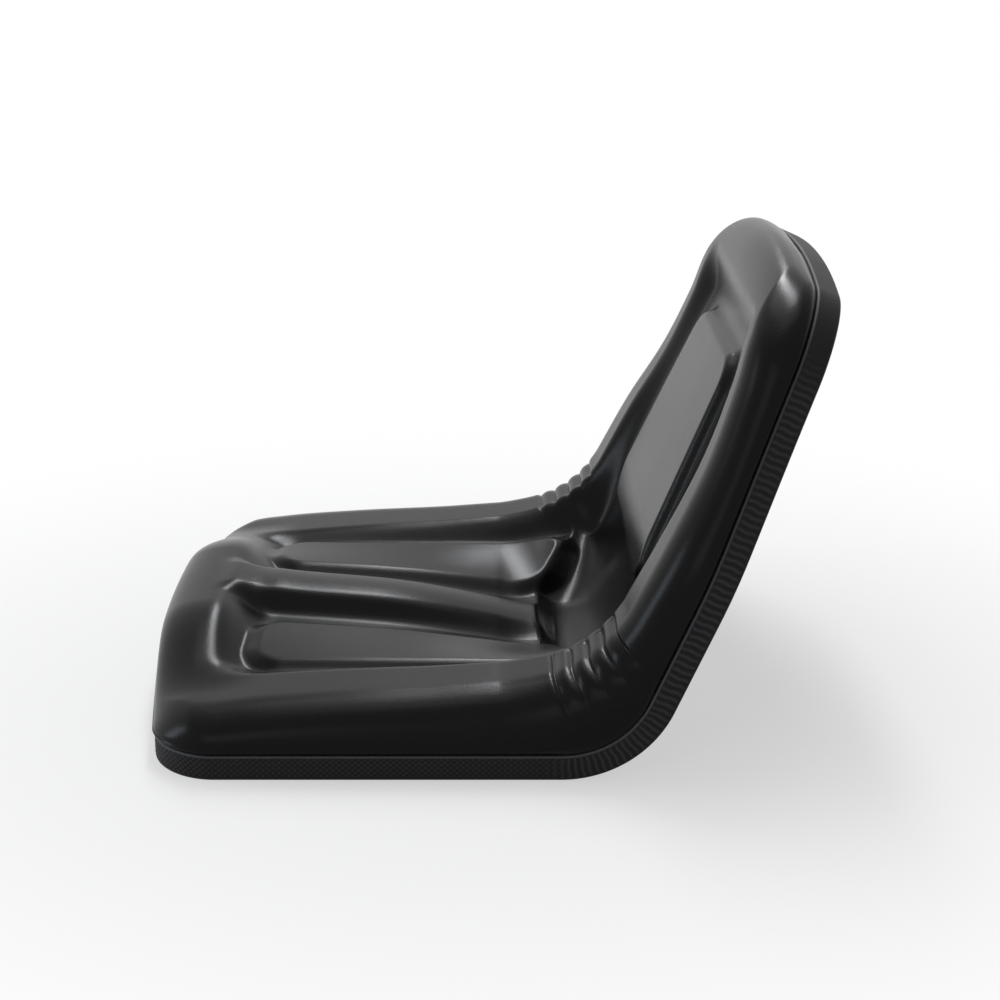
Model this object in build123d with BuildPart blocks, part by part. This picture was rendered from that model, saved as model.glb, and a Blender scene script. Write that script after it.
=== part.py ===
"""Bucket seat for a garden machine: a moulded cushion on a pressed steel pan with a clip-on edge trim."""
import os
from math import atan2, cos, sin, tan, pi, radians, sqrt, hypot

from build123d import *

# Overall form, millimetres and degrees
half_width = 238.0
front_corner = 44.0
front_nose = 9.0
front_set_back = 4.5
bend_radius = 85.0
recline = 24.0
seat_run = 287.0
back_run = 300.0
taper_start = 96.0
taper_top_half = 172.0
taper_blend = 160.0
top_corner = 68.0
top_arch = 16.0

# Sheet, trim and the steps between them, measured square to the pan
sheet = 2.0
skirt_foot = 3.0
pan_top = 14.0
pan_inset = 3.5
trim_height = 18.5
trim_inner_height = 9.0
trim_inner_leg = 2.5
trim_slip = 0.2
trim_round = 2.4

# Cushion body
seat_gap = 0.3
side_overhang = 2.0
front_overhang = 5.0
top_overhang = -2.0
cushion_corner = 58.0
lower_round = 3.0
block_top = 80.0
beyond = 60.0
reach = 900.0

# Form line of the upholstered face
form_radius = 150.0
form_clear = 118.0
run_out = 16.0
side_roll = 38.0
roll_drop = 22.0
roll_margin = 4.0
roll_flat = 0.95
front_roll = 28.0
front_drop = 25.0
top_roll = 42.0
top_drop = 27.0
front_crown = 25.0
crown_flat = 60.0
crown_fade = 130.0
crown_run = 34.0
crown_end = 44.0
dish_slope = 30.0
dish_front = 30.0
dish_front_run = 38.0
dish_top = 36.0
dish_top_run = 40.0

# Seat pads and the ridge between them
pad_inner = 63.0
bolster_width = 98.0
pad_front = 58.0
pad_rear_inner = 289.0
pad_rear_outer = 336.0
pad_corner = 22.0
pad_edge = 22.0
groove_depth = 7.0
recess_depth = 11.0
recess_lead = 4.0
recess_soft = 18.0
recess_fade = 320.0
recess_fade_run = 90.0
ridge_half = 31.0
ridge_edge = 22.0
ridge_end = 296.0
ridge_end_run = 16.0
ridge_camber = 0.003

# Back pad
back_pad_low = 408.0
back_pad_high = 592.0
back_pad_half_low = 120.0
back_pad_half_high = 96.0
back_pad_corner = 26.0

# Pleats at the bend
pleat_count = 4
pleat_pitch = 21.1
pleat_first = 308.9
pleat_depth = 4.0
pleat_lead = 8.0
pleat_soft = 12.0
pleat_reach = 36.0
pleat_reach_run = 22.0
pleat_foot = 16.0

# Heights and positions along the form line, as pairs of run and value
crest_height = ((0, 43), (40, 46), (75, 50), (131, 54), (193, 57), (268, 62), (320, 60), (400, 56), (700, 52))
crest_in = ((0, 74), (250, 70), (330, 67), (440, 64), (560, 50), (620, 45), (700, 44))
inner_level = ((40, 58), (75, 55), (165, 48), (240, 38), (289, 31), (330, 27), (370, 30), (408, 39), (450, 45))
outer_level = ((40, 49), (165, 49), (240, 50), (289, 49), (330, 43), (370, 39), (408, 41), (450, 45))
ridge_level = ((30, 75), (75, 66), (165, 57), (240, 43), (289, 31), (330, 24), (700, 24))

# Mounting
channel_length = 250.0
channel_width = 44.0
channel_spacing = 280.0
channel_centre = 160.0
hole_spread = 200.0
bolt_hole = 9.0
nut_flats = 14.0
nut_height = 6.5
nut_bore = 8.0

turn = radians(90.0 - recline)
lean = radians(recline)
depth_run = seat_run + bend_radius * sin(turn) + (back_run - trim_round) * sin(lean)
front_y = 0.5 * (front_overhang + front_nose - depth_run)
bend_y = front_y + seat_run
foot = (bend_y + bend_radius * sin(turn), bend_radius * (1 - cos(turn)))
back_plane = Plane(origin=(0, foot[0], foot[1]), x_dir=(1, 0, 0), z_dir=(0, -cos(lean), sin(lean)))
form_shift = (form_radius - bend_radius) * tan(0.5 * turn)
form_start = seat_run - form_shift
form_end = form_start + form_radius * turn
form_top = form_end + back_run - form_shift
taper_rate = (half_width - taper_top_half) / (back_run - top_arch - taper_start)
pad_outer = half_width - bolster_width
pad_sides = (
    (0, pad_outer),
    (pad_rear_outer, pad_outer),
    (back_pad_low, back_pad_half_low),
    (back_pad_high, back_pad_half_high),
)
last_pleat = pleat_first + pleat_count * pleat_pitch


def on_back(t, h):
    """Point of the side view at run t up the back and height h off the pan."""
    return (foot[0] + t * sin(lean) - h * cos(lean), foot[1] + t * cos(lean) + h * sin(lean))


def bow(x):
    """How far the front edge stands ahead of the start of the run, across the seat."""
    return front_nose - (front_nose + front_set_back) * (x / half_width) ** 2


def bent_block(low, high, inset, front_inset, top_inset, corner=front_corner):
    """Solid between two heights off the pan, bent with the seat and trimmed to its outline."""
    far = back_run + beyond
    near = front_y - beyond
    half = half_width - inset
    mid = 0.5 * turn
    with BuildPart() as block:
        with BuildSketch(Plane.YZ):
            with BuildLine():
                low_arc = bend_radius - low
                high_arc = bend_radius - high
                Line((near, low), (bend_y, low))
                ThreePointArc(
                    (bend_y, low),
                    (bend_y + low_arc * sin(mid), bend_radius - low_arc * cos(mid)),
                    on_back(0, low),
                )
                Line(on_back(0, low), on_back(far, low))
                Line(on_back(far, low), on_back(far, high))
                Line(on_back(far, high), on_back(0, high))
                ThreePointArc(
                    on_back(0, high),
                    (bend_y + high_arc * sin(mid), bend_radius - high_arc * cos(mid)),
                    (bend_y, high),
                )
                Line((bend_y, high), (near, high))
                Line((near, high), (near, low))
            make_face()
        extrude(amount=half_width + beyond, both=True)
        with BuildSketch(Plane.XY) as plan:
            nose = front_y + front_inset - front_nose
            edge = front_y + front_inset + front_set_back
            with BuildLine():
                ThreePointArc((-half, edge), (0, nose), (half, edge))
                Polyline((half, edge), (half, edge + reach), (-half, edge + reach), (-half, edge))
            make_face()
            fillet(plan.vertices().group_by(Axis.Y)[0], corner - inset)
        extrude(amount=reach, both=True, mode=Mode.INTERSECT)
        with BuildSketch(back_plane) as outline:
            top_t = back_run - top_inset
            top_half = taper_top_half - inset
            with BuildLine():
                Polyline(
                    (top_half, top_t - top_arch),
                    (half, taper_start),
                    (half, -reach),
                    (-half, -reach),
                    (-half, taper_start),
                    (-top_half, top_t - top_arch),
                )
                ThreePointArc((-top_half, top_t - top_arch), (0, top_t), (top_half, top_t - top_arch))
            make_face()
            levels = outline.vertices().group_by(Axis.Y)
            fillet(levels[2], top_corner - inset)
            fillet(outline.vertices().group_by(Axis.Y)[1], taper_blend)
        extrude(amount=reach, both=True, mode=Mode.INTERSECT)
    return block.part


def rim_height(p):
    """Height of a point off the rim surface of the pan."""
    y = p.Y - bend_y
    if y <= 0:
        return p.Z
    if atan2(y, bend_radius - p.Z) <= turn:
        return bend_radius - hypot(y, bend_radius - p.Z)
    return (foot[0] - p.Y) * cos(lean) + (p.Z - foot[1]) * sin(lean)


def rim_edges(edges, height):
    """Edges that run round the outline at one height, without the bend lines across the floor."""
    found = []
    for e in edges:
        p = e @ 0.5
        across = abs(p.X) < 0.01 and p.Y > front_y + 20.0
        if abs(rim_height(p) - height) < 0.01 and not (across and p.Z < foot[1] + 1.0):
            found.append(e)
    return found


def ease(u):
    """Smooth step from 0 to 1."""
    u = min(max(u, 0.0), 1.0)
    return u * u * (3 - 2 * u)


def along(table, s):
    """Smooth value between the pairs of a table."""
    if s <= table[0][0]:
        return table[0][1]
    for k in range(len(table) - 1):
        s0, v0 = table[k]
        s1, v1 = table[k + 1]
        if s <= s1:
            run = s1 - s0
            m0 = 0.0
            m1 = 0.0
            if k > 0:
                m0 = (v1 - table[k - 1][1]) / (s1 - table[k - 1][0]) * run
            if k + 2 < len(table):
                m1 = (table[k + 2][1] - v0) / (table[k + 2][0] - s0) * run
            u = (s - s0) / run
            a = 2 * u**3 - 3 * u**2 + 1
            b = u**3 - 2 * u**2 + u
            c = 3 * u**2 - 2 * u**3
            d = u**3 - u**2
            return a * v0 + b * m0 + c * v1 + d * m1
    return table[-1][1]


def half_at(s):
    """Half width of the cushion at a run along the form line."""
    past = s - form_end + form_shift - taper_start
    blend = 26.0
    if past > blend:
        cut = past
    elif past > -blend:
        cut = (past + blend) ** 2 / (4 * blend)
    else:
        cut = 0.0
    return half_width + side_overhang - taper_rate * cut


def pad_cover(edges, corner, width):
    """1 on a pad and 0 off it, from the distances outside each of its edges."""
    near = [e + corner for e in edges]
    top = max(near)
    if top > 0:
        top = sqrt(sum(max(e, 0.0) ** 2 for e in near))
    return ease(0.5 - (top - corner) / width)


def form_height(s, x):
    """Height of the upholstered face off the form line."""
    ax = abs(x)
    half = half_at(s)
    crest = half - along(crest_in, s)
    side = (half - ax) / side_roll
    front = (s + front_overhang + bow(ax)) / front_roll
    arch = top_arch * (ax / taper_top_half) ** 2
    top = (form_top + top_overhang - arch - s) / top_roll
    end = min(front, top)
    a = max(1 - side, 0.0)
    b = max(1 - end, 0.0)
    e = hypot(a, b)
    drop = 0.0
    if e > 0:
        depth = (roll_drop * a * a + (front_drop if front < top else top_drop) * b * b) / (e * e)
        if e < 1:
            drop = depth * (1 - sqrt(1 - (roll_flat * e) ** 2))
        else:
            foot_rise = sqrt(1 - roll_flat**2)
            drop = depth * (1 - foot_rise + roll_flat**2 / foot_rise * (e - 1))
    crown = front_crown * (1 - ease((ax - crown_flat) / crown_fade)) * (1 - ease((s - crown_run) / crown_end))
    edge = along(crest_height, s) + crown
    lateral = ease((ax - pad_inner) / (pad_outer - pad_inner))
    level = along(inner_level, s) * (1 - lateral) + along(outer_level, s) * lateral
    slant = (pad_rear_outer - pad_rear_inner) / (pad_outer - pad_inner)
    rear = (s - pad_rear_inner - slant * (max(ax, pad_inner) - pad_inner)) / hypot(1, slant)
    inner = level - groove_depth
    recess = ease((rear + recess_lead) / recess_soft) * (1 - ease((s - recess_fade) / recess_fade_run))
    inner -= recess_depth * recess
    ridge = ease(0.5 - (ax - ridge_half) / ridge_edge) * ease((ridge_end - s) / ridge_end_run)
    inner += (along(ridge_level, s) - ridge_camber * ax * ax - inner) * ridge
    seat_pad = pad_cover((pad_inner - ax, ax - pad_outer, pad_front - s, rear), pad_corner, pad_edge)
    lean_in = (back_pad_half_low - back_pad_half_high) / (back_pad_high - back_pad_low)
    flank = ax - back_pad_half_low + lean_in * (s - back_pad_low)
    back_pad = pad_cover((flank, back_pad_low - s, s - back_pad_high), back_pad_corner, pad_edge)
    inner += (level - inner) * max(seat_pad, back_pad)
    dish = ease((crest - ax) / dish_slope) * ease((s - dish_front) / dish_front_run)
    dish *= ease((form_top - dish_top - s) / dish_top_run)
    height = edge + (inner - edge) * dish
    fold = 0.5 + 0.5 * cos(2 * pi * (s - pleat_first) / pleat_pitch)
    fold *= ease((s - pleat_first + pleat_lead) / pleat_soft)
    fold *= ease((last_pleat + pleat_lead - s) / pleat_soft)
    fold *= ease((ax - crest + pleat_reach) / pleat_reach_run) * ease((half - ax) / pleat_foot)
    return height - drop - pleat_depth * fold


def station(s):
    """Plane square to the form line, with its height as the second axis."""
    if s < form_start:
        return Plane(origin=(0, front_y + s, 0), x_dir=(1, 0, 0), z_dir=(0, -1, 0))
    if s > form_end:
        y, z = on_back(s - form_end + form_shift, 0)
        return Plane(origin=(0, y, z), x_dir=(1, 0, 0), z_dir=(0, -sin(lean), -cos(lean)))
    a = (s - form_start) / form_radius
    y = front_y + form_start + form_radius * sin(a)
    z = form_radius - form_radius * cos(a)
    return Plane(origin=(0, y, z), x_dir=(1, 0, 0), z_dir=(0, -cos(a), -sin(a)))


def spread(stops):
    """Run values with a chosen step in each stretch."""
    values = [stops[0][0]]
    for k in range(len(stops) - 1):
        start, step = stops[k]
        stop = stops[k + 1][0]
        count = max(1, round((stop - start) / step))
        values += [start + (stop - start) * (n + 1) / count for n in range(count)]
    return values


def section_widths(s):
    """Places across one section, gathered at the ridge, the pads and the outer roll."""
    half = half_at(s)
    pad_side = along(pad_sides, s)
    soft = 0.5 * pad_edge
    marks = (
        (0.0, 1),
        (ridge_half - 0.5 * ridge_edge, 2),
        (ridge_half + 0.5 * ridge_edge, 1),
        (pad_inner - soft, 2),
        (pad_inner + soft, 1),
        (pad_side - soft, 2),
        (pad_side + soft, 2),
        (half - side_roll, 3),
        (half - roll_margin, 1),
        (half + roll_margin, 0),
    )
    side = [0.0]
    for k in range(len(marks) - 1):
        start, count = marks[k]
        stop = marks[k + 1][0]
        side += [start + (stop - start) * (n + 1) / count for n in range(count)]
    return [-x for x in side[:0:-1]] + side


os.makedirs("parts", exist_ok=True)

# Seat pan: pressed floor with a turned-down skirt
lip = pan_inset + sheet
pressing = bent_block(skirt_foot, pan_top, pan_inset, pan_inset, pan_inset)
hollow = bent_block(skirt_foot - 2.0, pan_top - sheet, lip, lip, lip)
with BuildPart() as pan:
    add(pressing)
    add(hollow, mode=Mode.SUBTRACT)
    with BuildSketch(Plane.XY.offset(pan_top - sheet)):
        with Locations((0, front_y + channel_centre)):
            with GridLocations(channel_spacing, 0, 2, 1):
                SlotOverall(channel_length, channel_width, rotation=90)
    extrude(amount=-(pan_top - sheet))
    with BuildSketch(Plane.XY.offset(pan_top)):
        with Locations((0, front_y + channel_centre)):
            with GridLocations(channel_spacing, 0, 2, 1):
                SlotOverall(channel_length - 2 * sheet, channel_width - 2 * sheet, rotation=90)
    extrude(amount=-(pan_top - sheet), mode=Mode.SUBTRACT)
    with Locations((0, front_y + channel_centre, 0)):
        with GridLocations(channel_spacing, hole_spread, 2, 2):
            Cylinder(bolt_hole / 2, 3 * pan_top, mode=Mode.SUBTRACT)
pan.part.label = "seat_pan"
export_step(pan.part, "parts/seat_pan.step")

# Edge trim: U section clipped up over the skirt of the pan
leg = lip + trim_slip
outer = bent_block(0.0, trim_height, 0.0, 0.0, 0.0)
slot = bent_block(skirt_foot, trim_height + 5.0, pan_inset, pan_inset, pan_inset)
inner_ring = bent_block(0.0, trim_inner_height, leg, leg, leg)
inside = leg + trim_inner_leg
bore = bent_block(-5.0, trim_height, inside, inside, inside)
with BuildPart() as trim:
    add(outer)
    chamfer(rim_edges(trim.edges(), 0.0), trim_round)
    add(slot, mode=Mode.SUBTRACT)
    add(inner_ring)
    add(bore, mode=Mode.SUBTRACT)
trim.part.label = "edge_trim"
export_step(trim.part, "parts/edge_trim.step")

# Cushion: one moulding, cut to its form surface
plinth_inset = pan_inset + seat_gap
plinth = bent_block(pan_top, trim_height + 2.0, plinth_inset, plinth_inset, plinth_inset)
rim = trim_height + seat_gap
body = bent_block(rim, block_top, -side_overhang, -front_overhang, -top_overhang, cushion_corner)
tip = front_overhang + front_nose
runs = spread(
    (
        (-tip - run_out, run_out),
        (-tip, 5.8),
        (15.0, 10.0),
        (75.0, 16.2),
        (pad_rear_inner - 20.0, 13.3),
        (pleat_first, 0.5 * pleat_pitch),
        (last_pleat, 15.0),
        (back_pad_low + 15.0, 17.0),
        (back_pad_high - 15.0, 14.0),
        (form_top - dish_top, 8.5),
        (form_top + top_overhang, run_out),
        (form_top + top_overhang + run_out, run_out),
    )
)
with BuildPart() as above:
    for s in runs:
        widths = section_widths(s)
        with BuildSketch(station(s)):
            with BuildLine():
                brow = Spline(*[(x, form_height(s, x)) for x in widths])
                Polyline(brow @ 1, (widths[-1], form_clear), (widths[0], form_clear), brow @ 0)
            make_face()
    loft(ruled=True)
with BuildPart() as cushion:
    add(body)
    chamfer(rim_edges(cushion.edges(), rim), lower_round)
    add(plinth)
    add(above.part, mode=Mode.SUBTRACT)
cushion.part.label = "cushion"
export_step(cushion.part, "parts/cushion.step")

# Weld nuts in the channels
with BuildPart() as nuts:
    with BuildSketch(Plane.XY.offset(sheet)):
        with Locations((0, front_y + channel_centre)):
            with GridLocations(channel_spacing, hole_spread, 2, 2):
                RegularPolygon(nut_flats / 2, 6, major_radius=False)
                Circle(nut_bore / 2, mode=Mode.SUBTRACT)
    extrude(amount=nut_height)
nuts.part.label = "weld_nuts"
export_step(nuts.part, "parts/weld_nuts.step")
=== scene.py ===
"""Looks for a garden machine's bucket seat: a formed cushion, a textured edge trim and their finishes."""

import bpy
import numpy as np
from bpy.props import FloatProperty, FloatVectorProperty, IntProperty, PointerProperty
from bpy.types import Operator, Panel, PropertyGroup
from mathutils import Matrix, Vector


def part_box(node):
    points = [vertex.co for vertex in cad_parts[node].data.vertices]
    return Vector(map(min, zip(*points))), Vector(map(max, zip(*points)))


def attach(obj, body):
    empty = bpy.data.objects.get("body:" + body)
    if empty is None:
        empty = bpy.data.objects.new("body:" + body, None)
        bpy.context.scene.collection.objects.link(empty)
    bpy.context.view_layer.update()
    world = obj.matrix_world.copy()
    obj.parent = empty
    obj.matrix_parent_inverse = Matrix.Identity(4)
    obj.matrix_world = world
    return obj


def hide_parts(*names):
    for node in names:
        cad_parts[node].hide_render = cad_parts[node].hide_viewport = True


bl_info = {
    "name": "Bucket Seat",
    "version": (1, 0, 0),
    "blender": (4, 5, 0),
    "location": "3D View > Sidebar > Seat",
    "description": "Builds the cushion, edge trim and finishes of a garden machine seat on its CAD frame",
    "category": "Object",
}

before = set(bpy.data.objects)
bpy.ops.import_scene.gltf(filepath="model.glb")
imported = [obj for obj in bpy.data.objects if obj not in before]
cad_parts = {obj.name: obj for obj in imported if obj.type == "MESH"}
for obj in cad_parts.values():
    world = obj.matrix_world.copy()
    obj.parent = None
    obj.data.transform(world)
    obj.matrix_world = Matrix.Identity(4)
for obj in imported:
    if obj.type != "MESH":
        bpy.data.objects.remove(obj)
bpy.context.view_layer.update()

MM = 0.001

# Lines of the pan and of the upholstered face, in millimetres and radians
TURN = np.radians(66.0)
SEAT_RUN = 287.0
BACK_RUN = 300.0
BEND_RADIUS = 85.0
FORM_RADIUS = 150.0
FORM_SHIFT = (FORM_RADIUS - BEND_RADIUS) * np.tan(0.5 * TURN)
FORM_START = SEAT_RUN - FORM_SHIFT
FORM_END = FORM_START + FORM_RADIUS * TURN
FORM_TOP = FORM_END + BACK_RUN - FORM_SHIFT
RIM_END = SEAT_RUN + BEND_RADIUS * TURN
RIM_TOP = RIM_END + BACK_RUN
TAPER_START = 96.0
TAPER_BLEND = 26.0
TOP_ARCH = 16.0
ARCH_START = 80.0
FRONT_OVERHANG = 1.0
FRONT_NOSE = 9.0
FRONT_SET_BACK = 4.5
CUSHION_NOSE = 13.0
CUSHION_SET_BACK = 6.5
FRONT_FADE = 85.0
TOP_INSET = -1.0

# Heights and positions along the form line, as pairs of run and value
CREST_LOW = ((0, 43), (40, 46), (75, 50), (131, 54), (193, 57), (268, 62), (320, 60))
CREST_HIGH = ((400, 55), (470, 50.5), (530, 46), (585, 48), (620, 52), (700, 52))
CREST_HEIGHT = CREST_LOW + CREST_HIGH
CREST_IN = ((0, 74), (250, 70), (330, 67), (440, 64), (560, 50), (620, 45), (700, 44))
INNER_LOW = ((40, 58), (75, 55), (165, 48), (240, 38), (289, 31), (330, 27))
INNER_LEVEL = INNER_LOW + ((370, 30), (408, 39), (450, 45))
OUTER_LEVEL = ((40, 49), (165, 49), (240, 50), (289, 49), (330, 43), (370, 39), (408, 41), (450, 45))
RIDGE_LEVEL = ((30, 75), (75, 66), (165, 57), (240, 43), (289, 31), (330, 24), (700, 24))

# Dish between the bolsters and the crown at the front edge
LEVEL_START = 48.0
LEVEL_SPREAD = 107.0
DISH_SIDE_RUN = 30.0
DISH_FRONT = 22.0
DISH_FRONT_RUN = 52.0
DISH_TOP = 36.0
DISH_TOP_RUN = 40.0
CROWN_RISE = 25.0
CROWN_FLAT = 60.0
CROWN_FADE = 130.0
CROWN_START = 34.0
CROWN_RUN = 44.0

# Leg pads, the ridge between them and the recess behind them
PAD_INNER = 63.0
PAD_OUTER = 140.0
PAD_FRONT = 58.0
PAD_REAR = 289.0
PAD_SLANT = 47.0 / 77.0
PAD_CORNER = 27.0
PAD_EDGE = 16.0
RIDGE_HALF = 31.0
RIDGE_EDGE = 22.0
RIDGE_END = 296.0
RIDGE_END_RUN = 16.0
RIDGE_CAMBER = 0.003
RECESS_DEPTH = 13.0
RECESS_LEAD = 5.0
RECESS_RUN = 34.0
RECESS_FADE = 320.0
RECESS_FADE_RUN = 90.0

# Back pad
BACK_PAD_LOW = 408.0
BACK_PAD_HIGH = 592.0
BACK_PAD_HALF = 120.0
BACK_PAD_TAPER = 24.0 / 184.0
BACK_PAD_CORNER = 26.0
BACK_PAD_EDGE = 11.0

# Rolls at the edges and pleats at the bend
SIDE_ROLL = 36.0
SIDE_ROLL_SHARE = 0.92
ROLL_FOOT = 21.0
FRONT_ROLL = 28.0
TOP_ROLL = 38.0
END_DROP = 21.0
PLEAT_START = 308.9
PLEAT_PITCH = 21.1
PLEAT_SHARPNESS = 0.7
PLEAT_LEAD = 8.0
PLEAT_END_FADE = 12.0
PLEAT_SIDE_FADE = 14.0
TUCK_START = 200.0
TUCK_RUN = 20.0
TUCK_DEPTH_SHARE = 0.7

# Rows and columns of the cushion's grid
CORNER_ROWS = 26
TOP_CORNER_START = 0.32
COARSE_STEP = 2.4
FINE_STEP = 1.1
FINE_START = 292.0
FINE_END = 406.0
MIDDLE_SHARE = 0.82
MIDDLE_COLUMNS = 168
ROLLED_COLUMNS = 22
WALL_ROWS = 9

# Foot of the cushion and its underside, as pairs of level and distance out from the rim
FOOT_RINGS = ((19.5, -0.6), (19.0, -0.9), (18.75, -1.5), (18.7, -2.5))
FOOT_TUCK = 2.0
FOOT_TUCK_RUN = 60.0
UNDER_RINGS = ((18.7, -6.3), (14.2, -6.3))

# Section of the trim, as pairs of distance out and level, with the rounded foot, face and lip between
TRIM_INSET = 2.0
TRIM_FRONT_CORNER = 44.0
TRIM_STEP = 0.85
TRIM_CORNER_POINTS = 60
TRIM_SIDE_POINTS = 500
TRIM_END_POINTS = 200
TRIM_INNER_LEG = ((-5.75, 9.0), (-8.1, 9.0), (-8.2, 8.6), (-8.2, 0.5), (-7.8, 0.0), (-5.0, 0.0))
TRIM_SLOT = ((-3.45, 10.0), (-3.45, 3.1), (-5.75, 3.1))
TRIM_FOOT = 2.4
TRIM_FACE_TOP = 17.3
TRIM_LIP = 1.65
TRIM_LIP_RISE = 1.2

# Texture of the trim, and the painted highlight along its top lip
TEXTURE_LOW = 1.5
TEXTURE_LOW_FADE = 1.5
TEXTURE_HIGH = 17.0
TEXTURE_HIGH_FADE = 1.2
OUTER_FACE = -0.5
DIAMOND_PITCH = 4.4
DIAMOND_RISE = 4.0
DIAMOND_FLOOR = -0.4
RIB_PITCH = 5.3
RIB_WANDER = 0.06
RIB_WANDER_RISE = 11.0
RIB_WANDER_RATE = 0.11
RIB_START = 262.0
RIB_END = RIM_TOP - 36.0
RIB_FADE = 40.0
RIB_SIDE = 120.0
PLAIN_START = RIM_TOP - 70.0
PLAIN_FADE = 50.0
PLAIN_SHARE = 0.1
# Painted highlight on the lip: its strength, its fade above the texture and its width in from the face
LIP_HIGHLIGHT = 2.6
LIP_HIGHLIGHT_FADE = 0.5
LIP_HIGHLIGHT_WIDTH = 2.6

# Camera and lamps, in metres, watts and degrees
CAMERA_LENS = 74.45
CAMERA_SENSOR = 36.0
CAMERA_SHIFT = 0.010457
CAMERA_SIDE = 1.545309
CAMERA_FROM_FRONT = 0.237412
CAMERA_HEIGHT = 0.616294
CAMERA_TILT = 72.5
LAMPS = (
    ("Overhead", (-0.45, -0.1, 1.8), (0.0, 0.0, 0.1), (0.9, 1.6), 8.0, (1.0, 0.98, 0.94)),
    ("Far side", (-1.25, 0.0, 1.85), (0.0, 0.0, 0.1), (0.26, 1.7), 26.0, (0.95, 0.97, 1.0)),
    ("Window", (-0.1, -2.2, 0.7), (0.0, 0.1, 0.2), (0.55, 1.0), 9.0, (0.8, 0.9, 1.0)),
    ("Near side", (1.8, -0.8, 1.2), (0.0, 0.0, 0.12), (0.9, 0.9), 3.0, (0.9, 0.95, 1.0)),
)
SURROUND_LIGHT = 0.15
FLOOR_HALF = 6.0
FLOOR_POINTS = 9
FLOOR_LEVEL = -0.0003
SHADOW_NEAR = 0.20
SHADOW_FAR = 0.75
SHADOW_WHITE = 0.55


class SeatForm(PropertyGroup):
    """Sizes of the formed cushion and of the trim."""

    half_width: FloatProperty(
        name="Half width",
        description="Half of the cushion's width at the seat",
        default=0.240,
        unit="LENGTH",
    )
    top_half: FloatProperty(
        name="Top half width",
        description="Half of the cushion's width at the top",
        default=0.174,
        unit="LENGTH",
    )
    front_corner: FloatProperty(
        name="Front corner",
        description="Radius of the cushion's front corners in plan",
        default=0.046,
        unit="LENGTH",
    )
    top_corner: FloatProperty(
        name="Top corner",
        description="Radius of the corners at the top of the back",
        default=0.070,
        unit="LENGTH",
    )
    groove_depth: FloatProperty(
        name="Groove depth",
        description="Depth of the grooves round the pads",
        default=0.008,
        unit="LENGTH",
    )
    pleat_count: IntProperty(
        name="Pleats",
        description="Folds on each bolster at the bend",
        default=4,
        min=1,
    )
    pleat_depth: FloatProperty(
        name="Pleat depth",
        description="Depth of the creases between the pleats",
        default=0.0030,
        unit="LENGTH",
    )
    wall_bulge: FloatProperty(
        name="Wall bulge",
        description="How far the side wall stands out at its middle",
        default=0.0012,
        unit="LENGTH",
    )
    knurl_relief: FloatProperty(
        name="Knurl relief",
        description="Height of the diamonds on the trim",
        default=0.0006,
        unit="LENGTH",
    )
    rib_relief: FloatProperty(
        name="Rib relief",
        description="Height of the ribs on the trim",
        default=0.00055,
        unit="LENGTH",
    )


class SeatFinish(PropertyGroup):
    """Colours of the finishes and of the studio."""

    vinyl: FloatVectorProperty(
        name="Vinyl",
        description="Colour of the formed skin",
        size=3,
        subtype="COLOR",
        default=(0.0030, 0.0030, 0.0033),
    )
    trim: FloatVectorProperty(
        name="Trim",
        description="Colour of the edge trim",
        size=3,
        subtype="COLOR",
        default=(0.008, 0.008, 0.0086),
    )
    paint: FloatVectorProperty(
        name="Pan paint",
        description="Colour of the pan",
        size=3,
        subtype="COLOR",
        default=(0.022, 0.022, 0.024),
    )
    zinc: FloatVectorProperty(
        name="Zinc",
        description="Colour of the weld nuts",
        size=3,
        subtype="COLOR",
        default=(0.62, 0.62, 0.60),
    )
    floor: FloatVectorProperty(
        name="Floor",
        description="Colour of the floor",
        size=3,
        subtype="COLOR",
        default=(0.86, 0.86, 0.86),
    )


def ease(u):
    """Smooth step 3u^2 - 2u^3 from 0 to 1."""
    u = np.clip(u, 0.0, 1.0)
    return u * u * (3 - 2 * u)


def along(table, s):
    """Cubic Hermite curve through the pairs of a table, flat at both ends."""
    runs, values = np.array(table, float).T
    slopes = np.zeros_like(values)
    slopes[1:-1] = (values[2:] - values[:-2]) / (runs[2:] - runs[:-2])
    k = np.clip(np.searchsorted(runs, s, side="right") - 1, 0, len(runs) - 2)
    step = runs[k + 1] - runs[k]
    u = np.clip((s - runs[k]) / step, 0.0, 1.0)
    first = (2 * u**3 - 3 * u**2 + 1) * values[k] + (u**3 - 2 * u**2 + u) * step * slopes[k]
    return first + (3 * u**2 - 2 * u**3) * values[k + 1] + (u**3 - u**2) * step * slopes[k + 1]


def bent_line(run, height, start, radius, front_y):
    """y and z, at a run and a height, of a line that runs flat, turns on an arc and goes up straight."""
    angle = np.clip((run - start) / radius, 0.0, TURN)
    past = np.maximum(run - start - radius * TURN, 0.0)
    y = front_y + np.minimum(run, start) + radius * np.sin(angle) + past * np.cos(TURN)
    z = radius * (1 - np.cos(angle)) + past * np.sin(TURN)
    return y - height * np.sin(angle), z + height * np.cos(angle)


def tangent(run, start, radius):
    """Direction of the same line in the side view."""
    angle = np.clip((run - start) / radius, 0.0, TURN)
    return np.cos(angle), np.sin(angle)


def taper_cut(past, rate):
    """Narrowing past the knee of the outline: 0 before it, straight after it, a parabola between."""
    bend = (np.clip(past, -TAPER_BLEND, TAPER_BLEND) + TAPER_BLEND) ** 2 / (4 * TAPER_BLEND)
    return rate * np.where(past > TAPER_BLEND, past, bend)


def pad_cover(edges, corner, width):
    """1 on a pad and 0 off it: a soft step over the rounded distance outside its edges."""
    near = [e + corner for e in edges]
    rounded = np.sqrt(sum(np.maximum(e, 0.0) ** 2 for e in near))
    distance = np.where(rounded > 0, rounded, np.max(near, axis=0))
    return ease(0.5 - (distance - corner) / width)


def front_y():
    """Start of the run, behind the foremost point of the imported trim."""
    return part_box("edge_trim")[0][1] / MM + FRONT_NOSE


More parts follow.
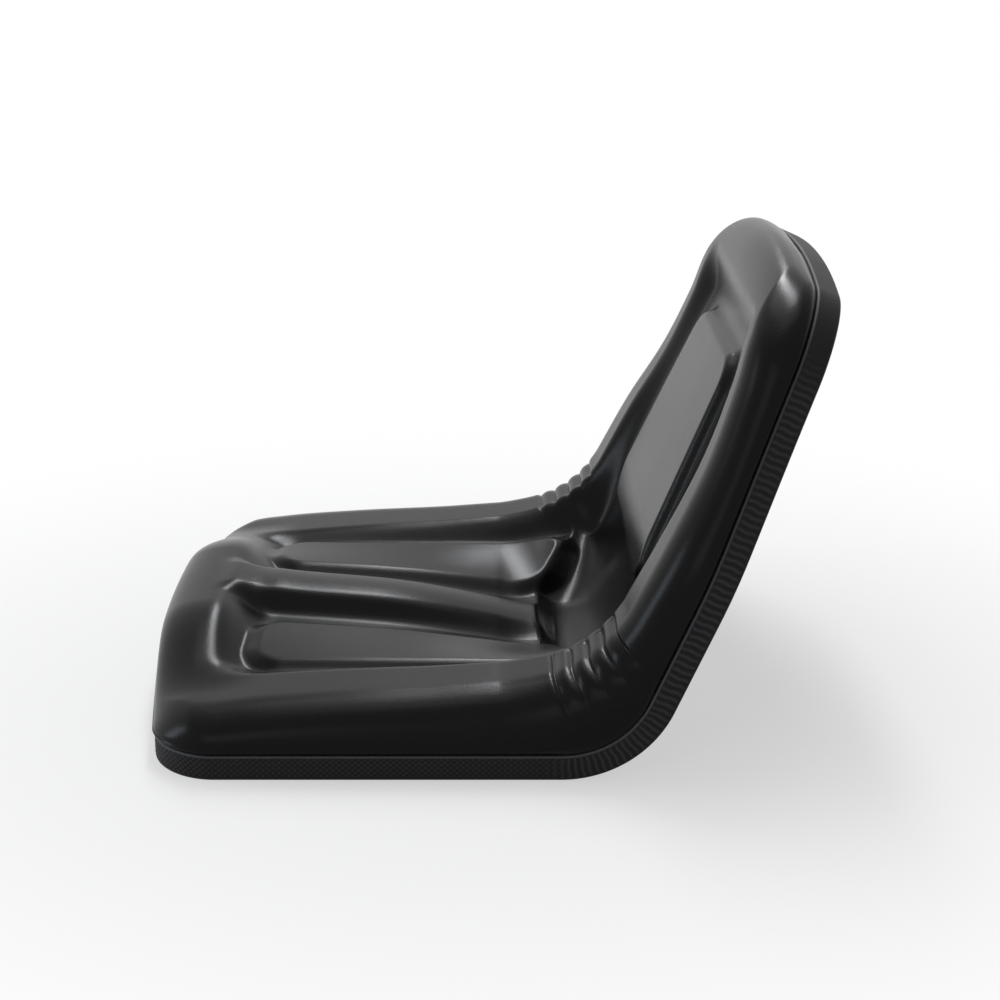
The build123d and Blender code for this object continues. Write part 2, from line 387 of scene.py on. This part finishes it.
def bowed(p, x, half, nose, set_back):
    """Run at row p: rows near the front bow forward in the middle and fall back at the sides."""
    bow = nose - (nose + set_back) * (x / half) ** 2
    return p - bow * (1 - ease(p / FRONT_FADE))


def pleat_fold(s, form):
    """Depth of the creases between the pleats along the run: narrow valleys at an even pitch."""
    last = PLEAT_START + form.pleat_count * PLEAT_PITCH
    fold = 1 - np.abs(np.sin(np.pi * (s - PLEAT_START) / PLEAT_PITCH)) ** PLEAT_SHARPNESS
    begin = ease((s - PLEAT_START + PLEAT_LEAD) / PLEAT_END_FADE)
    end = ease((last + PLEAT_LEAD - s) / PLEAT_END_FADE)
    return form.pleat_depth / MM * fold * begin * end


def form_height(s, x, half, roll, form):
    """Height of the face off its line: bolster level minus dish, grooves, rolls and pleats."""
    ax = np.abs(x)
    crest = half - along(CREST_IN, s)
    crown = CROWN_RISE * (1 - ease((ax - CROWN_FLAT) / CROWN_FADE))
    crown = crown * (1 - ease((s - CROWN_START) / CROWN_RUN))
    edge = along(CREST_HEIGHT, s) + crown
    lateral = ease((ax - LEVEL_START) / LEVEL_SPREAD)
    level = along(INNER_LEVEL, s) * (1 - lateral) + along(OUTER_LEVEL, s) * lateral
    rear = (s - PAD_REAR - PAD_SLANT * (np.maximum(ax, PAD_INNER) - PAD_INNER)) / np.hypot(1, PAD_SLANT)
    fall = 1 - np.clip(1 - (rear + RECESS_LEAD) / RECESS_RUN, 0.0, 1.0) ** 3
    inner = level - form.groove_depth / MM
    inner = inner - RECESS_DEPTH * fall * (1 - ease((s - RECESS_FADE) / RECESS_FADE_RUN))
    ridge = ease(0.5 - (ax - RIDGE_HALF) / RIDGE_EDGE) * ease((RIDGE_END - s) / RIDGE_END_RUN)
    inner = inner + (along(RIDGE_LEVEL, s) - RIDGE_CAMBER * ax * ax - inner) * ridge
    seat_pad = pad_cover((PAD_INNER - ax, ax - PAD_OUTER, PAD_FRONT - s, rear), PAD_CORNER, PAD_EDGE)
    flank = ax - BACK_PAD_HALF + BACK_PAD_TAPER * (s - BACK_PAD_LOW)
    back_pad = pad_cover((flank, BACK_PAD_LOW - s, s - BACK_PAD_HIGH), BACK_PAD_CORNER, BACK_PAD_EDGE)
    inner = inner + (level - inner) * np.maximum(seat_pad, back_pad)
    dish = ease((crest - ax) / DISH_SIDE_RUN) * ease((s - DISH_FRONT) / DISH_FRONT_RUN)
    dish = dish * ease((FORM_TOP - DISH_TOP - s) / DISH_TOP_RUN)
    fold = pleat_fold(s, form) * ease((ax - crest + PLEAT_LEAD) / PLEAT_SIDE_FADE)
    fold = fold * (1 - 0.5 * ease((ax - half + PLEAT_SIDE_FADE) / PLEAT_SIDE_FADE))
    return edge + (inner - edge) * dish - roll - fold


def roll_depth(a, b, side_drop, end_drop):
    """Quarter-ellipse roll at the edges, from the shares a (side) and b (end) of the way out."""
    e = np.clip(a + b - a * b, 0.0, 1.0)
    weight = a * a + b * b + 1e-9
    depth = (side_drop * a * a + end_drop * b * b) / weight
    return depth * (1 - np.sqrt(1 - e * e))


def outline_half(p, half, top_half, front_corner, top_corner, top_run, line_end, front_run):
    """Half width of the outline at row p: corner arcs at the front and top, a taper up the back."""
    rate = (half - top_half) / (top_run - TAPER_START)
    t = p - line_end
    width = half - taper_cut(t - TAPER_START, rate)
    near = np.clip(p - front_run, 0.0, front_corner)
    width = width - front_corner + np.sqrt(front_corner**2 - (front_corner - near) ** 2)
    lean = np.arctan(rate)
    centre_t = top_run - top_corner
    centre_x = half - (top_corner + np.sin(lean) * (centre_t - TAPER_START)) / np.cos(lean)
    up = np.clip(t - centre_t, 0.0, top_corner)
    arc = centre_x + np.sqrt(top_corner**2 - up**2)
    return np.where(t > centre_t + top_corner * np.sin(lean), arc, width)


def arched(p, x, half_top, line_end, top_run):
    """Run at row p: rows bend down towards the sides so that the last one follows the arched top."""
    lift = ease((p - line_end - ARCH_START) / (top_run - ARCH_START))
    return p - TOP_ARCH * (x / half_top) ** 2 * lift


def join_mesh(name, verts, faces, material):
    """Smooth mesh object at the origin from millimetre points."""
    mesh = bpy.data.meshes.new(name)
    mesh.from_pydata((np.asarray(verts) * MM).tolist(), [], faces)
    mesh.validate()
    mesh.polygons.foreach_set("use_smooth", np.full(len(mesh.polygons), True))
    mesh.materials.append(material)
    mesh.update()
    obj = bpy.data.objects.new(name, mesh)
    bpy.context.scene.collection.objects.link(obj)
    return obj


def grid_faces(rows, columns):
    """Quads of a grid of points, row by row."""
    k = np.arange((rows - 1) * columns).reshape(rows - 1, columns)[:, :-1].ravel()
    return np.stack([k, k + 1, k + columns + 1, k + columns], axis=1)


def ring_faces(upper, lower):
    """Quads between two closed loops of point numbers, facing out."""
    return np.stack([upper, lower, np.roll(lower, -1), np.roll(upper, -1)], axis=1)


def outward_in_plan(run, x):
    """Unit direction out of a closed line of runs and widths, as its shares along the run and sideways."""
    ds = np.roll(run, -1) - np.roll(run, 1)
    dx = np.roll(x, -1) - np.roll(x, 1)
    length = np.hypot(ds, dx)
    return -dx / length, ds / length


def corner_rows(end, corner, count):
    """Rows up to the end of an outline through its top corners, closer together towards the end."""
    return end - corner + corner * np.sin(np.linspace(TOP_CORNER_START, 0.5 * np.pi, count))


def cushion_grid(form):
    """Runs, widths and points of the form surface on a grid that is finer where it curves more."""
    half, top_half = form.half_width / MM, form.top_half / MM
    front_corner, top_corner = form.front_corner / MM, form.top_corner / MM
    line_end = FORM_END - FORM_SHIFT
    top_run = BACK_RUN - TOP_INSET
    quarter = np.linspace(0.0, 0.5 * np.pi, CORNER_ROWS)
    front_rows = front_corner * (1 - np.cos(quarter)) - FRONT_OVERHANG
    top_rows = corner_rows(line_end + top_run, top_corner, CORNER_ROWS)
    seat_rows = np.arange(front_rows[-1] + COARSE_STEP, FINE_START, COARSE_STEP)
    bend_rows = np.arange(FINE_START, FINE_END, FINE_STEP)
    back_rows = np.arange(FINE_END, top_rows[0] - 1.0, COARSE_STEP)
    p = np.concatenate([front_rows, seat_rows, bend_rows, back_rows, top_rows])[:, None]
    middle = np.linspace(-MIDDLE_SHARE, MIDDLE_SHARE, MIDDLE_COLUMNS)
    out = np.sin(np.linspace(0.0, 0.5 * np.pi, ROLLED_COLUMNS))[1:]
    rolled = MIDDLE_SHARE + (1 - MIDDLE_SHARE) * out
    v = np.concatenate([-rolled[::-1], middle, rolled])[None, :]
    width = outline_half(p, half, top_half, front_corner, top_corner, top_run, line_end, -FRONT_OVERHANG)
    x = v * width
    s = bowed(arched(p, x, top_half, line_end, top_run), x, half, CUSHION_NOSE, CUSHION_SET_BACK)
    at_side = np.clip(1 - (1 - np.abs(v)) * width / SIDE_ROLL, 0.0, 1.0)
    at_front = np.clip(1 - (p + FRONT_OVERHANG) / FRONT_ROLL, 0.0, 1.0)
    at_top = np.clip(1 - (line_end + top_run - p) / TOP_ROLL, 0.0, 1.0)
    side_drop = SIDE_ROLL_SHARE * (along(CREST_HEIGHT, s) - ROLL_FOOT)
    roll = roll_depth(at_side, np.maximum(at_front, at_top), side_drop, END_DROP)
    rate = (half - top_half) / (BACK_RUN - TOP_ARCH - TAPER_START)
    local_half = half - taper_cut(s - line_end - TAPER_START, rate)
    y, z = bent_line(s, form_height(s, x, local_half, roll, form), FORM_START, FORM_RADIUS, front_y())
    return s, x, np.stack([x, y, z], axis=2).reshape(-1, 3)


def cushion_surface(form):
    """Points and faces of the cushion: the grid of its form, a wall round it and a closed underside."""
    s, x, grid = cushion_grid(form)
    rows, columns = s.shape
    numbers = np.arange(rows * columns).reshape(rows, columns)
    loop = np.concatenate([numbers[0, :-1], numbers[:-1, -1], numbers[-1, :0:-1], numbers[:0:-1, 0]])
    s_loop, x_loop = s.ravel()[loop], x.ravel()[loop]
    rim = np.interp(
        s_loop,
        [-FORM_START, FORM_START, FORM_END, FORM_TOP],
        [-FORM_START, FORM_START, RIM_END + FORM_SHIFT, RIM_TOP],
    )
    out_s, out_x = outward_in_plan(s_loop, x_loop)
    ty, tz = tangent(rim, SEAT_RUN, BEND_RADIUS)
    outward = np.stack([out_x, out_s * ty, out_s * tz], axis=1)

    def at_rim(level, offset):
        rim_y, rim_z = bent_line(rim, level, SEAT_RUN, BEND_RADIUS, front_y())
        return np.stack([x_loop, rim_y, rim_z], axis=1) + offset * outward

    top_edge = grid[loop]
    tuck_in = FOOT_TUCK * ease(s_loop / FOOT_TUCK_RUN)[:, None]
    foot, *lip = [at_rim(level, offset - tuck_in) for level, offset in FOOT_RINGS]
    crease = pleat_fold(s_loop, form) * ease((np.abs(x_loop) - TUCK_START) / TUCK_RUN)
    wall = []
    for f in np.linspace(0.0, 1.0, WALL_ROWS)[1:]:
        bulge = form.wall_bulge / MM * np.sin(np.pi * f)
        tuck = 0.5 * crease * (1 - ease(f / TUCK_DEPTH_SHARE))
        wall.append(top_edge + (foot - top_edge) * f + outward * (bulge - tuck)[:, None])
    wall += lip + [at_rim(level, offset) for level, offset in UNDER_RINGS]

    faces = grid_faces(rows, columns).tolist()
    upper = loop
    for k in range(len(wall)):
        lower = np.arange(len(loop)) + rows * columns + k * len(loop)
        faces += ring_faces(upper, lower).tolist()
        upper = lower
    right = upper[columns - 1 : columns + rows - 1]
    left = np.concatenate([upper[:1], upper[:-rows:-1]])
    faces += np.stack([left[1:-2], left[2:-1], right[2:-1], right[1:-2]], axis=1).tolist()
    front_row = upper[:columns]
    top_row = upper[columns + rows - 2 : 2 * columns + rows - 2]
    faces.append(np.concatenate([right[1:2], left[1:2], front_row])[::-1].tolist())
    faces.append(np.concatenate([left[-2:-1], right[-2:-1], top_row])[::-1].tolist())
    return np.concatenate([grid, *wall]), faces


def trim_line(form):
    """Closed line of the pan's rim as runs and widths at an even spacing, with the way gone along it."""
    half, top_half = form.half_width / MM - TRIM_INSET, form.top_half / MM - TRIM_INSET
    top_corner = form.top_corner / MM - TRIM_INSET
    front_rows = TRIM_FRONT_CORNER * (1 - np.cos(np.linspace(0.0, 0.5 * np.pi, TRIM_CORNER_POINTS)))
    top_rows = corner_rows(RIM_TOP, top_corner, TRIM_CORNER_POINTS)
    side = np.linspace(TRIM_FRONT_CORNER, top_rows[0], TRIM_SIDE_POINTS)
    p = np.concatenate([front_rows, side[1:-1], top_rows])
    width = outline_half(p, half, top_half, TRIM_FRONT_CORNER, top_corner, BACK_RUN, RIM_END, 0.0)
    front = np.linspace(-width[0], width[0], TRIM_END_POINTS)
    back = np.linspace(width[-1], -width[-1], TRIM_END_POINTS)
    run = np.concatenate([0 * front, p[1:], np.full(len(back) - 1, p[-1]), p[-2::-1]])
    x = np.concatenate([front, width[1:], back[1:], -width[-2::-1]])
    s = bowed(arched(run, x, top_half, RIM_END, BACK_RUN), x, half, FRONT_NOSE, FRONT_SET_BACK)
    gone = np.concatenate([[0.0], np.cumsum(np.hypot(np.diff(s), np.diff(x)))])
    even = np.linspace(0.0, gone[-1], int(gone[-1] / TRIM_STEP), endpoint=False)
    return np.interp(even, gone, s), np.interp(even, gone, x), even


def trim_section():
    """Distances out and levels of the trim's U section, as a closed line."""
    inner_leg, slot = np.array(TRIM_INNER_LEG).T, np.array(TRIM_SLOT).T
    round_foot = np.linspace(0.0, 0.5 * np.pi, 6)[:-1]
    face = np.linspace(TRIM_FOOT, TRIM_FACE_TOP, 20)
    lip = np.linspace(0.0, np.pi, 9)[1:]
    foot_out = TRIM_FOOT * np.sin(round_foot) - TRIM_FOOT
    foot_up = TRIM_FOOT - TRIM_FOOT * np.cos(round_foot)
    lip_out = TRIM_LIP * np.cos(lip) - TRIM_LIP
    lip_up = TRIM_FACE_TOP + TRIM_LIP_RISE * np.sin(lip)
    offset = np.concatenate([inner_leg[0], foot_out, 0 * face, lip_out, slot[0]])
    return offset, np.concatenate([inner_leg[1], foot_up, face, lip_up, slot[1]])


def trim_relief(run, x, gone, offset, level, form):
    """Height of the diamonds and ribs on the trim's outer face, by place along it and on its section."""
    low = ease((level - TEXTURE_LOW) / TEXTURE_LOW_FADE)
    high = ease((TEXTURE_HIGH - level) / TEXTURE_HIGH_FADE)
    on_face = (low * high * (offset > OUTER_FACE))[None, :]
    on_side = ease((np.abs(x) - RIB_SIDE) / RIB_FADE)
    ribbed = (ease((run - RIB_START) / RIB_FADE) * ease((RIB_END - run) / RIB_FADE) * on_side)[:, None]
    plain = (PLAIN_SHARE + (1 - PLAIN_SHARE) * ease((PLAIN_START - run) / PLAIN_FADE))[:, None]
    u, h = gone[:, None], level[None, :]
    diamond = np.cos(2 * np.pi * u / DIAMOND_PITCH) * np.cos(2 * np.pi * h / DIAMOND_RISE)
    knurl = (1 - ribbed) * np.clip(diamond, DIAMOND_FLOOR, 1.0) * form.knurl_relief / MM
    wander = RIB_WANDER * np.sin(2 * np.pi * h / RIB_WANDER_RISE + RIB_WANDER_RATE * u)
    rib = (0.5 + 0.5 * np.cos(2 * np.pi * (u / RIB_PITCH + wander))) ** 2
    return on_face * plain * knurl + on_face * ribbed * rib * form.rib_relief / MM


def trim_surface(form):
    """Points, faces and painted-highlight share of the trim: a U section round the rim, embossed on its
    outer face.
    """
    run, x, gone = trim_line(form)
    out_s, out_x = outward_in_plan(run, x)
    offset, level = trim_section()
    relief = trim_relief(run, x, gone, offset, level, form)
    out = offset[None, :] + relief
    # Painted highlight: the lip above the texture and the raised diamonds and ribs get a paler share, as
    # where light catches them
    lip_highlight = ease((level - TEXTURE_HIGH) / LIP_HIGHLIGHT_FADE) * (offset > -LIP_HIGHLIGHT_WIDTH)
    painted_highlight = np.clip(relief * MM / form.rib_relief, 0.0, 1.0) + LIP_HIGHLIGHT * lip_highlight[None, :]
    ty, tz = tangent(run, SEAT_RUN, BEND_RADIUS)
    y, z = bent_line(run[:, None], level[None, :], SEAT_RUN, BEND_RADIUS, front_y())
    points = np.stack(
        [
            x[:, None] + out * out_x[:, None],
            y + out * (out_s * ty)[:, None],
            z + out * (out_s * tz)[:, None],
        ],
        axis=2,
    )
    around, across = relief.shape
    k = np.arange(around * across).reshape(around, across)
    k_next = np.roll(k, -1, axis=0)
    faces = np.stack([k, k_next, np.roll(k_next, -1, axis=1), np.roll(k, -1, axis=1)], axis=2).reshape(-1, 4)
    return points.reshape(-1, 3), faces.tolist(), painted_highlight.ravel()


def node(tree, kind, **values):
    """New shader node with its properties set."""
    made = tree.nodes.new(kind)
    for key, value in values.items():
        setattr(made, key, value)
    return made


def new_group(name, inputs, outputs):
    """Empty shader node group with float or colour sockets."""
    group = bpy.data.node_groups.new(name, "ShaderNodeTree")
    for label, kind, default in inputs:
        group.interface.new_socket(label, in_out="INPUT", socket_type=kind).default_value = default
    for label, kind in outputs:
        group.interface.new_socket(label, in_out="OUTPUT", socket_type=kind)
    return group, node(group, "NodeGroupInput"), node(group, "NodeGroupOutput")


def skin_grain():
    """Pebbled grain: cells with soft borders over a slow swell. Used by every finish."""
    if "Skin grain" in bpy.data.node_groups:
        return bpy.data.node_groups["Skin grain"]
    group, given, result = new_group(
        "Skin grain",
        [("Scale", "NodeSocketFloat", 900.0), ("Swell", "NodeSocketFloat", 0.3)],
        [("Height", "NodeSocketFloat")],
    )
    link = group.links.new
    place = node(group, "ShaderNodeTexCoord")
    cells = node(group, "ShaderNodeTexVoronoi", feature="SMOOTH_F1")
    cells.inputs["Smoothness"].default_value = 0.6
    swell = node(group, "ShaderNodeTexNoise")
    swell.inputs["Scale"].default_value = 60.0
    swell.inputs["Detail"].default_value = 3.0
    mix = node(group, "ShaderNodeMath", operation="MULTIPLY_ADD")
    link(place.outputs["Object"], cells.inputs["Vector"])
    link(place.outputs["Object"], swell.inputs["Vector"])
    link(given.outputs["Scale"], cells.inputs["Scale"])
    link(swell.outputs["Fac"], mix.inputs[0])
    link(given.outputs["Swell"], mix.inputs[1])
    link(cells.outputs["Distance"], mix.inputs[2])
    link(mix.outputs[0], result.inputs["Height"])
    return group


def surface_haze():
    """Uneven sheen: a slow noise shifts colour and roughness a little. Used by every finish."""
    if "Surface haze" in bpy.data.node_groups:
        return bpy.data.node_groups["Surface haze"]
    group, given, result = new_group(
        "Surface haze",
        [
            ("Colour", "NodeSocketColor", (0.02, 0.02, 0.02, 1.0)),
            ("Haze", "NodeSocketColor", (0.05, 0.05, 0.05, 1.0)),
            ("Amount", "NodeSocketFloat", 0.4),
            ("Smooth", "NodeSocketFloat", 0.3),
            ("Rough", "NodeSocketFloat", 0.45),
        ],
        [("Colour", "NodeSocketColor"), ("Roughness", "NodeSocketFloat")],
    )
    link = group.links.new
    place = node(group, "ShaderNodeTexCoord")
    cloud = node(group, "ShaderNodeTexNoise")
    cloud.inputs["Scale"].default_value = 14.0
    cloud.inputs["Detail"].default_value = 5.0
    share = node(group, "ShaderNodeMath", operation="MULTIPLY")
    tint = node(group, "ShaderNodeMix", data_type="RGBA")
    rough = node(group, "ShaderNodeMix", data_type="FLOAT")
    link(place.outputs["Object"], cloud.inputs["Vector"])
    link(cloud.outputs["Fac"], share.inputs[0])
    link(given.outputs["Amount"], share.inputs[1])
    link(share.outputs[0], tint.inputs["Factor"])
    link(given.outputs["Colour"], tint.inputs["A"])
    link(given.outputs["Haze"], tint.inputs["B"])
    link(cloud.outputs["Fac"], rough.inputs["Factor"])
    link(given.outputs["Smooth"], rough.inputs["A"])
    link(given.outputs["Rough"], rough.inputs["B"])
    link(tint.outputs["Result"], result.inputs["Colour"])
    link(rough.outputs["Result"], result.inputs["Roughness"])
    return group


def finish_material(name, colour, haze, smooth, rough, grain, swell, bump, depth, amount=0.5):
    """Principled material with the shared haze and grain at its own values. Returns it with its nodes."""
    material = bpy.data.materials.new(name)
    material.use_nodes = True
    tree = material.node_tree
    link = tree.links.new
    shader = tree.nodes["Principled BSDF"]
    film = node(tree, "ShaderNodeGroup", node_tree=surface_haze())
    film.inputs["Colour"].default_value = (*colour, 1.0)
    film.inputs["Haze"].default_value = (*(haze * c for c in colour), 1.0)
    film.inputs["Amount"].default_value = amount
    film.inputs["Smooth"].default_value = smooth
    film.inputs["Rough"].default_value = rough
    pebble = node(tree, "ShaderNodeGroup", node_tree=skin_grain())
    pebble.inputs["Scale"].default_value = grain
    pebble.inputs["Swell"].default_value = swell
    relief = node(tree, "ShaderNodeBump")
    relief.inputs["Strength"].default_value = bump
    relief.inputs["Distance"].default_value = depth
    link(pebble.outputs["Height"], relief.inputs["Height"])
    link(relief.outputs["Normal"], shader.inputs["Normal"])
    link(film.outputs["Colour"], shader.inputs["Base Color"])
    link(film.outputs["Roughness"], shader.inputs["Roughness"])
    return material, shader, film


def vinyl_material(finish):
    """Black formed vinyl: satin gloss with a fine pebble."""
    sheen = dict(haze=2.2, smooth=0.19, rough=0.27)
    texture = dict(grain=850.0, swell=0.5, bump=0.16, depth=0.0004)
    material, shader, _ = finish_material("Vinyl", finish.vinyl, **sheen, **texture)
    shader.inputs["Specular IOR Level"].default_value = 0.09
    return material


def trim_material(finish):
    """Flexible strip: matt black, with a painted highlight on the raised diamonds and ribs and along the top
    lip.
    """
    sheen = dict(haze=1.8, smooth=0.42, rough=0.58)
    texture = dict(grain=1500.0, swell=0.3, bump=0.12, depth=0.0003)
    material, shader, film = finish_material("Trim", finish.trim, **sheen, **texture)
    tree = material.node_tree
    # The relief attribute carries the painted highlight: it makes the colour up to six times paler on the
    # ridges and the lip
    highlight_share = node(tree, "ShaderNodeAttribute", attribute_name="relief")
    highlight_mix = node(tree, "ShaderNodeMix", data_type="RGBA", clamp_factor=False)
    highlight_mix.inputs["B"].default_value = (*(6.0 * c for c in finish.trim), 1.0)
    tree.links.new(highlight_share.outputs["Fac"], highlight_mix.inputs["Factor"])
    tree.links.new(film.outputs["Colour"], highlight_mix.inputs["A"])
    tree.links.new(highlight_mix.outputs["Result"], shader.inputs["Base Color"])
    shader.inputs["Specular IOR Level"].default_value = 0.12
    return material


def paint_material(finish):
    """Stoved black paint on the pressed pan."""
    sheen = dict(haze=1.8, smooth=0.34, rough=0.48)
    texture = dict(grain=500.0, swell=0.6, bump=0.10, depth=0.0004)
    return finish_material("Pan paint", finish.paint, **sheen, **texture)[0]


def zinc_material(finish):
    """Bright zinc plate on the weld nuts."""
    sheen = dict(haze=0.8, amount=0.6, smooth=0.26, rough=0.42)
    texture = dict(grain=1800.0, swell=0.4, bump=0.08, depth=0.0002)
    material, shader, _ = finish_material("Zinc", finish.zinc, **sheen, **texture)
    shader.inputs["Metallic"].default_value = 1.0
    return material


class SEAT_OT_cushion(Operator):
    """Builds the formed cushion in the place of its CAD solid"""

    bl_idname = "seat.cushion"
    bl_label = "Cushion"

    def execute(self, context):
        points, faces = cushion_surface(context.scene.seat_form)
        cushion = join_mesh("cushion_skin", points, faces, vinyl_material(context.scene.seat_finish))
        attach(cushion, "root")
        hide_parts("cushion")
        return {"FINISHED"}


class SEAT_OT_trim(Operator):
    """Builds the embossed edge trim in the place of its CAD solid"""

    bl_idname = "seat.trim"
    bl_label = "Edge trim"

    def execute(self, context):
        form = context.scene.seat_form
        points, faces, painted_highlight = trim_surface(form)
        trim = join_mesh("embossed_trim", points, faces, trim_material(context.scene.seat_finish))
        # Stores the painted highlight share of each point in the relief attribute
        highlight_share = trim.data.attributes.new("relief", "FLOAT", "POINT")
        highlight_share.data.foreach_set("value", painted_highlight.astype(np.float32))
        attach(trim, "root")
        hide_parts("edge_trim")
        return {"FINISHED"}


class SEAT_OT_metalwork(Operator):
    """Gives the pan and its weld nuts their finishes"""

    bl_idname = "seat.metalwork"
    bl_label = "Pan and nuts"

    def execute(self, context):
        finish = context.scene.seat_finish
        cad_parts["seat_pan"].material_slots[0].material = paint_material(finish)
        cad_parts["weld_nuts"].material_slots[0].material = zinc_material(finish)
        return {"FINISHED"}


def area_light(name, place, target, size, power, colour):
    """Soft panel light that faces a point."""
    data = bpy.data.lights.new(name, "AREA")
    data.shape = "RECTANGLE"
    data.size, data.size_y = size
    data.energy = power
    data.color = colour
    lamp = bpy.data.objects.new(name, data)
    lamp.location = place
    lamp.rotation_euler = (Vector(target) - Vector(place)).to_track_quat("-Z", "Y").to_euler()
    bpy.context.scene.collection.objects.link(lamp)


def background_rays(tree):
    """Value that is 1 for the rays that see the white background: camera, glossy and transmission rays."""
    path = node(tree, "ShaderNodeLightPath")
    first = node(tree, "ShaderNodeMath", operation="MAXIMUM")
    both = node(tree, "ShaderNodeMath", operation="MAXIMUM")
    tree.links.new(path.outputs["Is Camera Ray"], first.inputs[0])
    tree.links.new(path.outputs["Is Glossy Ray"], first.inputs[1])
    tree.links.new(first.outputs[0], both.inputs[0])
    tree.links.new(path.outputs["Is Transmission Ray"], both.inputs[1])
    return both.outputs[0]


def studio_world():
    """Soft grey surround that shows as white."""
    world = bpy.data.worlds.new("Studio")
    bpy.context.scene.world = world
    world.use_nodes = True
    tree = world.node_tree
    soft = tree.nodes["Background"]
    soft.inputs["Color"].default_value = (1.0, 1.0, 1.0, 1.0)
    soft.inputs["Strength"].default_value = SURROUND_LIGHT
    white = node(tree, "ShaderNodeBackground")
    white.inputs["Color"].default_value = (1.0, 1.0, 1.0, 1.0)
    white.inputs["Strength"].default_value = 1.0
    mix = node(tree, "ShaderNodeMixShader")
    tree.links.new(background_rays(tree), mix.inputs["Fac"])
    tree.links.new(soft.outputs["Background"], mix.inputs[1])
    tree.links.new(white.outputs["Background"], mix.inputs[2])
    tree.links.new(mix.outputs["Shader"], tree.nodes["World Output"].inputs["Surface"])


def studio_floor(colour):
    """Large plain sheet just under the seat, white to the eye away from the seat's shadow."""
    side = np.linspace(-FLOOR_HALF, FLOOR_HALF, FLOOR_POINTS) / MM
    x, y = np.meshgrid(side, side)
    points = np.stack([x, y, 0 * x + FLOOR_LEVEL / MM], axis=2).reshape(-1, 3)
    material = bpy.data.materials.new("Floor")
    material.use_nodes = True
    tree = material.node_tree
    shader = tree.nodes["Principled BSDF"]
    shader.inputs["Base Color"].default_value = (*colour, 1.0)
    shader.inputs["Roughness"].default_value = 0.7
    white = node(tree, "ShaderNodeEmission")
    place = node(tree, "ShaderNodeTexCoord")
    away = node(tree, "ShaderNodeVectorMath", operation="LENGTH")
    spread = node(tree, "ShaderNodeMapRange", interpolation_type="SMOOTHSTEP")
    spread.inputs["From Min"].default_value = SHADOW_NEAR
    spread.inputs["From Max"].default_value = SHADOW_FAR
    spread.inputs["To Min"].default_value = SHADOW_WHITE
    seen = node(tree, "ShaderNodeMath", operation="MULTIPLY")
    mix = node(tree, "ShaderNodeMixShader")
    tree.links.new(place.outputs["Object"], away.inputs[0])
    tree.links.new(away.outputs["Value"], spread.inputs["Value"])
    tree.links.new(spread.outputs["Result"], seen.inputs[0])
    tree.links.new(background_rays(tree), seen.inputs[1])
    tree.links.new(seen.outputs[0], mix.inputs["Fac"])
    tree.links.new(shader.outputs["BSDF"], mix.inputs[1])
    tree.links.new(white.outputs["Emission"], mix.inputs[2])
    tree.links.new(mix.outputs["Shader"], tree.nodes["Material Output"].inputs["Surface"])
    floor = join_mesh("studio_floor", points, grid_faces(FLOOR_POINTS, FLOOR_POINTS).tolist(), material)


class SEAT_OT_stage(Operator):
    """Sets the floor, the light and the camera"""

    bl_idname = "seat.stage"
    bl_label = "Stage"

    def execute(self, context):
        scene = context.scene
        scene.view_settings.view_transform = "Standard"
        studio_floor(scene.seat_finish.floor)
        studio_world()
        for lamp in LAMPS:
            area_light(*lamp)
        data = bpy.data.cameras.new("Camera")
        data.lens = CAMERA_LENS
        data.sensor_width = CAMERA_SENSOR
        data.shift_x = CAMERA_SHIFT
        camera = bpy.data.objects.new("Camera", data)
        camera.location = (CAMERA_SIDE, front_y() * MM + CAMERA_FROM_FRONT, CAMERA_HEIGHT)
        camera.rotation_euler = (np.radians(CAMERA_TILT), 0.0, np.radians(90.0))
        scene.collection.objects.link(camera)
        scene.camera = camera
        return {"FINISHED"}


class SEAT_PT_panel(Panel):
    """Buttons for the seat's pieces"""

    bl_idname = "SEAT_PT_panel"
    bl_label = "Bucket seat"
    bl_space_type = "VIEW_3D"
    bl_region_type = "UI"
    bl_category = "Seat"

    def draw(self, context):
        for piece in (SEAT_OT_cushion, SEAT_OT_trim, SEAT_OT_metalwork, SEAT_OT_stage):
            self.layout.operator(piece.bl_idname)
        for group in (context.scene.seat_form, context.scene.seat_finish):
            for name in group.__annotations__:
                self.layout.prop(group, name)


CLASSES = (
    SeatForm,
    SeatFinish,
    SEAT_OT_cushion,
    SEAT_OT_trim,
    SEAT_OT_metalwork,
    SEAT_OT_stage,
    SEAT_PT_panel,
)


def register():
    """Adds the classes and their settings."""
    for item in CLASSES:
        bpy.utils.register_class(item)
    bpy.types.Scene.seat_form = PointerProperty(type=SeatForm)
    bpy.types.Scene.seat_finish = PointerProperty(type=SeatFinish)


def unregister():
    """Removes the classes and their settings."""
    del bpy.types.Scene.seat_finish
    del bpy.types.Scene.seat_form
    for item in reversed(CLASSES):
        bpy.utils.unregister_class(item)


def main():
    """Builds the pieces in order."""
    register()
    bpy.ops.seat.cushion()
    bpy.ops.seat.trim()
    bpy.ops.seat.metalwork()
    bpy.ops.seat.stage()


if __name__ == "__main__":
    main()
